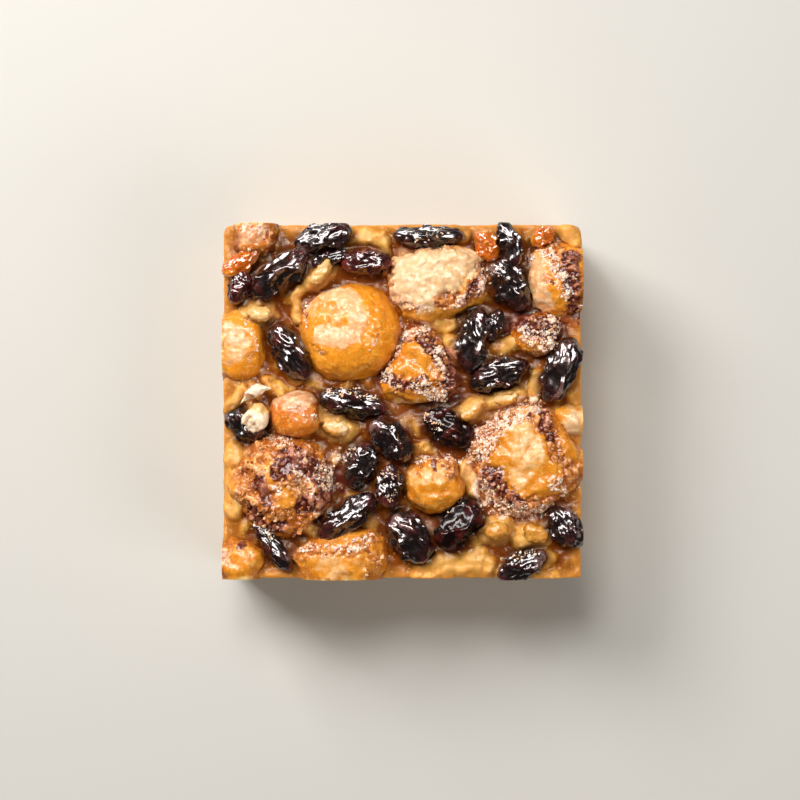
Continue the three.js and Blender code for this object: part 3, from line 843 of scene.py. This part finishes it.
# %% [markdown]
# ## Bread chunks: carving
# The plain solid gives a chunk's place and outline. A hull over it closes the dents where raisins
# lean on it, a voxel remesh gives it an even skin, and smoothing rounds it. Displacement does the
# rest: soft lumps, knobs and pores all over, then crags and grains that stand out where the crumb,
# dark and sugar masks lie. How far each place stands out is kept too, for painted shade in the creases.

# %% Carve the crust
SKIN = 0.33 * MM  # voxel of the remesh: a grain of crust is two or three of them
BIT_SKIN = 0.28 * MM
CUSTARD_SKIN = 0.5 * MM
PROUD = 0.05 * MM  # bread that the knife met stands this much out of the custard round it
KNIFE_REACH = 0.8 * MM  # what comes this near to a cut plane was cut


def hull_of(node, name):
    """A copy of a CAD node, closed over by its hull."""
    piece = bare_copy(node, name)
    with opened(piece):
        bpy.ops.mesh.convex_hull()
    return piece


LUMPS = texture("CLOUDS", 5 * MM, noise_depth=1, noise_basis="IMPROVED_PERLIN")
KNOBS = texture("CLOUDS", 2.4 * MM, noise_depth=1, noise_basis="IMPROVED_PERLIN")
PORES = texture("CLOUDS", 1.2 * MM, noise_depth=2)
CRAGS = texture("CLOUDS", 2.6 * MM, noise_depth=2, noise_type="HARD_NOISE")
GRAINS = texture("VORONOI", 0.95 * MM, weight_1=-1.0, weight_2=1.0)
SOFT_RELIEF = (("lumps", LUMPS, 2.6), ("knobs", KNOBS, 0.3), ("pores", PORES, 0.3), ("flakes", CRAGS, 0.3))
CRUST_RELIEF = (("crumb", CRAGS, 1.9), ("dark", CRAGS, 0.7), ("crumb", GRAINS, 0.9), ("sugar", GRAINS, 0.4))
CRUST_STANDS_OUT = 0.22  # level of a pattern that stays where it is: what is over it stands out


def crusted(node, strokes, skin=SKIN):
    """A bread chunk with its crust: hulled, remeshed, carved and flattened where the knife went."""
    chunk = hull_of(node, node + "_baked")
    modify(chunk, "REMESH", mode="VOXEL", voxel_size=skin)
    modify(chunk, "SMOOTH", factor=0.5, iterations=strokes.get("soft", 45))
    canvas = canvas_of(chunk)
    for mask in MASKS:
        brush(chunk, mask, strokes.get(mask, []), canvas)
    before, normals = places(chunk), normals_of(chunk)
    put_mask(chunk, "upward", np.clip(normals[:, 2], 0, 1))
    for kind, pattern, height in SOFT_RELIEF:
        displace(chunk, pattern, strokes.get(kind, height) * MM)
    deep = strokes.get("deep", 1.6) * MM
    displace(chunk, None, -deep, mid_level=0.0, vertex_group="dent", direction="Z")
    smooth = places(chunk)
    for mask, pattern, height in CRUST_RELIEF:
        displace(chunk, pattern, height * MM, mid_level=CRUST_STANDS_OUT, vertex_group=mask)
    lift = ((places(chunk) - before) * normals).sum(1)
    put_mask(chunk, "relief", np.clip(0.5 + lift / (2.4 * MM), 0, 1))
    crag = ((places(chunk) - smooth) * normals).sum(1)
    put_mask(chunk, "crag", np.clip((crag + 0.25 * MM) / (1.3 * MM), 0, 1))

    points = places(chunk)
    cut = np.zeros(len(points))
    for axis, face in enumerate((CUT_X, CUT_Y)):
        depth = np.abs(before[:, axis]) - face + KNIFE_REACH
        in_face = depth > 0
        points[in_face, axis] = np.sign(before[in_face, axis]) * (face + PROUD)
        points[:, axis] = np.clip(points[:, axis], -face - PROUD, face + PROUD)
        cut[in_face] = np.clip(depth[in_face] / (0.7 * MM), 0, 1)
    move_to(chunk, points)
    put_mask(chunk, "cut", cut)
    return smoothly_shaded(chunk)


breads = {}
for node, strokes in CHUNKS.items():
    breads[node] = crusted(node, strokes)
    dress(breads[node], BREADS[strokes.get("finish", "golden")], "bread", node)
    print(node, len(breads[node].data.polygons), "faces")

bit_nodes = sorted(n for n in nodes if n.startswith("bit_"))
for node in bit_nodes:
    pores = 1.0 if "cream" in node else 0.6
    settings = {"lumps": 1.4, "pores": pores, "soft": 9, **BITS[node]}
    breads[node] = crusted(node, settings, BIT_SKIN)
    dress(breads[node], CREAM_BREAD if "cream" in node else SOFT_BREAD, "cream_bread", node)
print("bits:", len(bit_nodes))

# %% [markdown]
# ## Custard: poured round everything
# Custard flows round everything before it sets, climbs a little way up whatever stands in it, and
# swells over the bread that lies sunk in it. The block is therefore fused with a sunken, slightly
# wider copy of every chunk, every bit and every raisin on the top, and remeshed as one skin.


# %% Pour the custard
def knife_cut_block():
    """The block inside the four cuts, with its upright corners rounded."""
    middle = (0, 0, CUSTARD_LEVEL / 2)
    bpy.ops.object.select_all(action="DESELECT")
    bpy.ops.mesh.primitive_cube_add(size=1, location=middle)
    block = bpy.context.object
    block.name = "custard_poured"
    with opened(block):
        bpy.ops.transform.resize(value=(2 * CUT_X, 2 * CUT_Y, CUSTARD_LEVEL), center_override=middle)
    bpy.ops.object.transform_apply(location=True, rotation=True, scale=True)
    for way, radius in ((1, BACK_CORNERS), (-1, FRONT_CORNERS)):
        bpy.ops.object.mode_set(mode="EDIT")
        bpy.ops.mesh.select_mode(type="EDGE")
        bpy.ops.mesh.select_all(action="DESELECT")
        bpy.ops.object.mode_set(mode="OBJECT")
        for edge in block.data.edges:
            one, two = (block.data.vertices[v].co for v in edge.vertices)
            upright = abs(one.z - two.z) > CUSTARD_LEVEL / 2
            edge.select = upright and one.y * way > CUT_Y - 0.01 * MM
        bpy.ops.object.mode_set(mode="EDIT")
        bpy.ops.mesh.bevel(offset=radius, segments=6, affect="EDGES")
        bpy.ops.object.mode_set(mode="OBJECT")
    return block


CREEP, SUNK = 0.7 * MM, 2.6 * MM  # how far it spreads round a piece, and how far below its top it stays
BIT_CREEP, BIT_SUNK = 1.7 * MM, 1.8 * MM  # it nearly covers the small soft bits
OPEN_CREEP, OPEN_SUNK = 0.3 * MM, 4 * MM  # but leaves those with a deep dent open


def riser_of(node):
    """The wider, sunken copy of a piece that the custard creeps over."""
    riser = hull_of(node, "riser")
    points = places(riser)
    middle = (points.min(0) + points.max(0)) / 2
    creep, sunk = (BIT_CREEP, BIT_SUNK) if node in BITS else (CREEP, SUNK)
    if "deep" in BITS.get(node, {}):
        creep, sunk = OPEN_CREEP, OPEN_SUNK
    spread = 1 + 2 * creep / np.ptp(points, axis=0)
    spread[2] = 1
    points = middle + (points - middle) * spread
    points[:, 2] -= sunk
    move_to(riser, points)
    trim(riser)
    return riser


custard = knife_cut_block()
top_raisins = [node for node in raisin_nodes if "_side_" not in node]
risers = [riser_of(node) for node in [*breads, *top_raisins]]
only(custard)
for riser in risers:
    riser.select_set(True)
bpy.ops.object.join()
modify(custard, "REMESH", mode="VOXEL", voxel_size=CUSTARD_SKIN)
print("custard fused:", len(custard.data.polygons), "faces")

# %% [markdown]
# ## Custard: its skin
# Where the custard stood highest its skin swelled into soft lumps, and it wrinkled as it shrank. Bread
# that lies just under it pushes up pale folds, which are brushed where the photo shows them. All this
# lifts and lowers the top only: a vertex group keeps the cut sides still.

# %% Raise its skin
FOLDS = [
    (1.8, 1, 14, -3, 20, 0), (1.7, 1, 22, 0, 29, 2), (1.7, 1, 16, -16, 18, -23),
    (2.4, 0.8, 21, -33, 25, -31), (2.4, 0.8, 30, -34), (2.2, 1, -21, -3, -14, -7),
    (3, 0.8, 5, -43, 12, -40, 20, -41), (2.2, 1, 36, -39), (2, 0.9, -43, -12, -42.5, -20, -43, -28),
    (1.5, 0.9, -40, 22, -36, 24), (1.6, 0.9, 6, 21, 12, 19.5), (1.6, 0.7, 24, 14, 29, 15),
    (2, 0.8, -14, 42, -6, 41), (1.4, 0.8, -34, 5, -30, 2), (1.5, 0.8, -40, 3, -44, -2),
    (1.7, 0.9, 9, 43, 16, 42), (1.5, 0.9, 41, 44, 44, 40), (1.6, 0.8, 26, -42, 38, -44),
    (1.4, 1, 13, 12, 12, 16), (1.3, 0.9, 33, 3, 34, 7), (1.4, 0.8, 3, -12, 6, -11),
    (1.6, 0.8, -20, -35, -24, -31), (0.9, 1, -5, 42, -3.5, 37, -4.5, 32), (0.8, 1, 33, 0, 35.5, 6),
    (1.2, 1, -26, 20, -27, 26, -23, 31), (1.6, 0.8, -31, 29, -26, 33), (1.4, 0.9, -30, 9, -27, 6),
    (1.5, 0.9, -15, -31, -11, -28),
]
points = places(custard)
on_top = np.clip((points[:, 2] - CUSTARD_LEVEL + 2 * MM) / MM, 0, 1)
weigh(custard, "skin", on_top)
modify(custard, "SMOOTH", factor=0.5, iterations=18, vertex_group="skin")
level = places(custard)[:, 2]
canvas = canvas_of(custard, on_top)
brush(custard, "fold", FOLDS, canvas)
displace(custard, None, 1.9 * MM, mid_level=0.0, vertex_group="fold", direction="Z")
swells = texture("VORONOI", 5.5 * MM, weight_1=-1.0, weight_2=1.0)
ripples = texture("CLOUDS", 2.6 * MM, noise_depth=2, noise_basis="IMPROVED_PERLIN")
flakes = texture("CLOUDS", 2.2 * MM, noise_depth=2, noise_type="HARD_NOISE")
for group, pattern, height, still in (
    ("skin", swells, 2.4, 0.4), ("skin", ripples, 1.3, 0.5), ("skin", flakes, 0.6, 0.4),
    ("fold", flakes, 0.7, 0.5),
):
    displace(custard, pattern, height * MM, mid_level=still, vertex_group=group, direction="Z")
modify(custard, "SMOOTH", factor=0.5, iterations=2, vertex_group="skin")
raised = places(custard)
put_mask(custard, "lift", np.clip(0.4 + (raised[:, 2] - level) / (2.6 * MM), 0, 1))
print("highest swell in mm:", round(float(raised[:, 2].max() - CUSTARD_LEVEL) / MM, 1))

# %% [markdown]
# ## Custard: its cut sides
# A knife opens the air that was baked in: a few wide holes, many pinholes, and shallow tears where
# the soft inside dragged. They are pressed inwards only, and all is kept within the four planes of
# the knife, so that nothing stands out of a cut.

# %% Open its cut sides
inward = inward_of(raised)
below = (CUSTARD_LEVEL - raised[:, 2]) / MM
in_cut = np.clip(1 - inward / (0.6 * MM), 0, 1) * np.clip(below - 1, 0, 1)
weigh(custard, "cut_sides", in_cut * (raised[:, 2] > 1.2 * MM))
air_holes = texture("VORONOI", 6.5 * MM, noise_intensity=4.5, use_clamp=True)
pinholes = texture("VORONOI", 2.8 * MM, noise_intensity=4.0, use_clamp=True)
tears = texture("CLOUDS", 7 * MM, noise_depth=2, use_clamp=True)
inwards = {"vertex_group": "cut_sides", "mid_level": 1.0}
displace(custard, air_holes, 1.2 * MM, **inwards)
displace(custard, pinholes, 0.6 * MM, **inwards)
depth = np.linalg.norm(places(custard) - raised, axis=1)
# how deep the holes go, for the painted shade in them
put_mask(custard, "pit", np.clip(depth / (0.7 * MM) - 0.2, 0, 1))
displace(custard, tears, 0.6 * MM, **inwards)
points = places(custard)
points[:, 0] = np.clip(points[:, 0], -CUT_X, CUT_X)
points[:, 1] = np.clip(points[:, 1], -CUT_Y, CUT_Y)
move_to(custard, points)
below = (CUSTARD_LEVEL - points[:, 2]) / MM
put_mask(custard, "cut", np.clip(1 - inward / (0.5 * MM), 0, 1) * np.clip(below, 0, 1))
put_mask(custard, "rim", 0.7 * np.clip(1 - inward / (4 * MM), 0, 1))
print("deepest hole in mm:", round(float(depth.max()) / MM, 1))

# %% [markdown]
# ## Custard: what touches it
# Raisins bleed brown into the custard round them, painted darker still as painted shade, soft bread
# soaks it pale, and the crust of each chunk crumbles onto it. The first two go by distance, the third
# by the chunks' own brush strokes, wider and weaker. Last comes the underside, cut off flat for the
# pudding to stand on.


# %% Stain it and paint shade near the raisins, crumb it and set it down
def closeness(chosen, pieces, reach):
    """How close chosen vertices of the custard come to any piece: about 1 beside it, 0 past the reach."""
    corners = np.concatenate([places(piece) for piece in pieces])
    nearest = kdtree.KDTree(len(corners))
    for i, corner in enumerate(corners):
        nearest.insert(corner, i)
    nearest.balance()
    close_by = np.zeros(len(points))
    for i in chosen:
        close_by[i] = max(0, 1.1 - nearest.find(points[i])[2] / reach)
    return close_by


top_ones = np.flatnonzero(on_top > 0.1)
# the stain round the raisins, which also serves as painted shade
put_mask(custard, "stain_and_shade", closeness(top_ones, raisins.values(), 2.2 * MM))
put_mask(custard, "soaked", closeness(top_ones, [breads[node] for node in bit_nodes], 3.2 * MM))
WIDER, WEAKER = 1.3, 0.8
for mask in ("crumb", "dark", "sugar"):
    strokes = [stroke for chunk in CHUNKS.values() for stroke in chunk.get(mask, [])]
    strokes = [(WIDER * radius, WEAKER * strength, *path) for radius, strength, *path in strokes]
    brush(custard, mask, strokes, canvas)

FOOT_CUT = 0.6 * MM
with opened(custard):
    bpy.ops.mesh.bisect(plane_co=(0, 0, FOOT_CUT), plane_no=(0, 0, 1), use_fill=True, clear_inner=True)
points = places(custard)
points[points[:, 2] < FOOT_CUT + 0.01 * MM, 2] = 0
move_to(custard, points)
smoothly_shaded(custard)
dress(custard, CUSTARD, "custard", "custard_block")
print("custard faces:", len(custard.data.polygons))

# %% [markdown]
# ## Finishes: crumbs and sugar
# Loose grains cling to the crust: crumbs of toasted bread, and coarse sugar that did not melt, which
# gives the top its small white glints. No two grains are alike, so each draws a tone of its own, and
# one finish turns the tones into colours.


# %% Finishes of the grains
def grain_finish(name, dark, middle, light, rough, clear):
    """Grains of three colours, each grain with the tone that it drew."""
    finish, tree, _ = new_finish(name)
    tone = mask_of(tree, "tone")
    colour = coated(tree, dark, (middle, tone, 0.0, 0.5), (light, tone, 0.55, 0.95))
    glow = {"Subsurface_Radius": (1.0, 0.7, 0.5), "Subsurface_Scale": 0.5 * MM}
    close(tree, Base_Color=colour, Roughness=rough, Subsurface_Weight=clear, **glow)
    return finish


CRUMB = grain_finish("crumbs_toasted", "#7c3414", "#c67838", "#f4c896", 0.5, 0.3)
SUGAR = grain_finish("sugar_coarse_white", "#f2b888", "#fcd8b8", "#fff2ea", 0.3, 0.3)
print("grains:", CRUMB.name, SUGAR.name)

# %% [markdown]
# ## Crumbs and sugar: shaken over the top
# Each kind is one mesh of many grains. They lie by chance, more of them where the crumb or sugar mask
# is strong, only on what faces up and not at a cut, where they would have fallen off. Sugar lies on
# some raisins too, and others get a grey painted sheen, a painted highlight on their ridges. Small
# grains are far more common than large ones.


# %% Make grains and lay them
MASK_FROM, UP_FROM = 0.25, 0.15  # how strong the mask is, and how far up a place faces, at the least
CUT_ROOM = 0.8 * MM  # how far from a cut grains stay
SEATED = 0.22  # how far a grain's middle lies over the surface, as a share of its size


def open_places(piece, mask):
    """Where grains may lie on a piece: the places, the way that each faces, the chance of each."""
    values = np.empty(len(piece.data.vertices), np.float32)
    piece.data.attributes[mask].data.foreach_get("value", values)
    points, normals = places(piece), normals_of(piece)
    chosen = (values > MASK_FROM) & (normals[:, 2] > UP_FROM) & (inward_of(points) > CUT_ROOM)
    return points[chosen], normals[chosen], values[chosen] ** 1.5


def scattered(name, base, sources, mask, number, sizes, seed):
    """One mesh of many copies of a small base mesh, laid where a mask is strong and faces up."""
    chance = np.random.default_rng(seed)
    spots, ups, weights = map(np.concatenate, zip(*(open_places(piece, mask) for piece in sources)))
    picked = chance.choice(len(spots), number, replace=False, p=weights / weights.sum())
    small, large = sizes
    size = small + (large - small) * chance.uniform(0, 1, (number, 1, 1)) ** 2.5
    size = size * chance.uniform(0.6, 1.3, (number, 1, 3))
    turns = chance.normal(size=(number, 4))
    turns = np.array([np.array(Quaternion(turn).normalized().to_matrix()) for turn in turns])
    corners = places(base)
    grains = np.einsum("nij,nkj->nki", turns, corners[None] * size)
    grains += (spots[picked] + ups[picked] * size.mean(axis=2) * SEATED)[:, None, :]
    faces = np.array([list(face.vertices) for face in base.data.polygons])
    faces = faces[None] + np.arange(number)[:, None, None] * len(corners)
    mesh = bpy.data.meshes.new(name)
    mesh.from_pydata(grains.reshape(-1, 3).tolist(), [], faces.reshape(-1, 3).tolist())
    piece = placed(name, mesh)
    put_mask(piece, "tone", np.repeat(chance.uniform(0, 1, number), len(corners)))
    return piece


def grain(subdivisions, seed):
    """A grain one unit across, uneven so that no two look alike once turned and stretched."""
    bpy.ops.object.select_all(action="DESELECT")
    bpy.ops.mesh.primitive_ico_sphere_add(subdivisions=subdivisions, radius=0.5)
    shape = bpy.context.object
    with opened(shape):
        bpy.ops.transform.vertex_random(offset=0.24, uniform=0.3, seed=seed)
    return shape


SUGARED_RAISINS = [
    (2, 0.75, -4, -18, -3, -23), (1.6, 0.8, -18, 2.5, -13, 3, -8, 2), (1.5, 0.9, 7, -4, 9, -7),
    (1.3, 1, -35, -31, -33, -34), (1.6, 0.7, 22, 33, 27, 32), (1.3, 0.6, 38, 14, 41, 12),
    (1.6, 1, -14, -11, -13, -12), (1.5, 1, 27, -38, 32, -38), (1.4, 0.7, 3, 41, 9, 42),
    (1.3, 0.7, 12, -27, 15, -25),
]
# where raisins get a painted sheen, a grey highlight on their ridges
PAINTED_SHEEN = [
    (2, 1, -18.6, 41.7), (1.4, 1, -24.4, 39), (1.3, 0.9, 0.6, 44.6, 6.3, 43.8),
    (1.8, 0.9, -28, 13.6, -27, 7.4), (2.4, 1, -7, -7, -3, -8.5), (1.4, 0.8, -5, -12),
    (2.2, 1, 20, 8, 26, 10), (2, 1, 39, 13, 40, 6, 38, 3), (1.6, 0.9, -15, -25, -12, -28),
    (1.8, 1, -1, -30, 2, -34), (1.4, 0.8, -42.5, -5, -43, -9), (1.2, 0.7, 33, -41, 36, -38),
    (1.3, 0.8, 41, -28, 43, -31), (1.6, 0.9, 22, 33, 27, 31), (1.4, 0.9, 16, 16, 18, 12),
    (1.6, 0.8, -30, 31, -26, 34),
]
lumpy, sharp = grain(2, 1), grain(1, 5)
for raisin in raisins.values():
    canvas = canvas_of(raisin)
    brush(raisin, "sugar", SUGARED_RAISINS, canvas)
    brush(raisin, "painted_sheen", PAINTED_SHEEN, canvas)
crusty = [custard, *(breads[node] for node in CHUNKS)]
crumbs = scattered("crumbs_loose", lumpy, crusty, "crumb", 900, (0.3 * MM, 1.05 * MM), 3)
dress(crumbs, CRUMB, "bread")
sweet = [*crusty, *raisins.values()]
sugar = scattered("sugar_loose", sharp, sweet, "sugar", 3000, (0.26 * MM, 0.9 * MM), 4)
dress(sugar, SUGAR, "sugar")
for shape in (lumpy, sharp):
    bpy.data.objects.remove(shape)
print("crumbs and sugar:", len(crumbs.data.polygons), len(sugar.data.polygons), "faces")

# %% [markdown]
# ## Floor
# The pudding lies on a plain pale floor, a hair lower than its flat underside so that the two faces
# don't flicker. It is there for the picture only, so it is no part of the pudding.

# %% Floor
bpy.ops.mesh.primitive_plane_add(size=3, location=(0, 0, -0.02 * MM))
floor = bpy.context.object
floor.name = "floor"
matt, tree, _ = new_finish("floor_matt_pale")
close(tree, Base_Color=linear("#c9c5bd"), Roughness=0.8)
floor.data.materials.append(matt)
print("floor:", matt.name)

# %% [markdown]
# ## Lights
# The shadows fall to the front right, so a large soft lamp stands at the back left. A smaller one beside
# it puts the hard highlights on the raisins, and a wide weak one opposite fills the shadows. A last
# one, a little to the right, is seen only in what shines. The world around is almost dark.


# %% Lights
def lamp(name, place, size, power):
    """A square soft lamp that shines at the middle of the pudding's top."""
    light = bpy.data.lights.new(name, "AREA")
    light.energy = power
    light.size = size
    holder = placed(name, light)
    holder.location = place
    holder.rotation_euler = (Vector(place) - Vector((0, 0, CUSTARD_LEVEL))).to_track_quat("Z", "Y").to_euler()
    return holder


lamp("key", (-0.42, 0.42, 0.5), 0.32, 5.8)
lamp("spark", (-0.12, 0.36, 0.75), 0.26, 3.6)
fill = lamp("fill", (0.7, -0.4, 0.6), 0.6, 4.0)
fill.visible_glossy = False  # wet raisins would show it as grey patches
glint = lamp("glint", (0.16, 0.28, 0.7), 0.3, 5.0)
glint.visible_diffuse = False
world = bpy.data.worlds.new("studio")
world.use_nodes = True
surroundings = world.node_tree.nodes["Background"].inputs
surroundings["Color"].default_value = linear("#f0ece6")
surroundings["Strength"].default_value = 0.05
bpy.context.scene.world = world
bpy.context.scene.view_settings.view_transform = "Standard"
print("lamps:", *(light.name for light in bpy.data.lights))

# %% [markdown]
# ## Camera
# The photo was taken from straight above. A long lens far away keeps the sides out of sight, as there.

# %% Camera
PHOTO_WIDTH = 200 * MM  # what the picture's 800 pixels span at the level of the raisins
LENS, SENSOR = 100.0, 36.0
LOOK_AT = Vector((-0.6 * MM, 0.4 * MM, 36 * MM))
camera_data = bpy.data.cameras.new("camera")
camera_data.lens = LENS
camera_data.sensor_width = SENSOR
camera = placed("camera", camera_data)
camera.location = LOOK_AT + Vector((0, 0, PHOTO_WIDTH * LENS / SENSOR))
bpy.context.scene.camera = camera
print("camera", round(camera.location.z / MM), "mm over the floor")
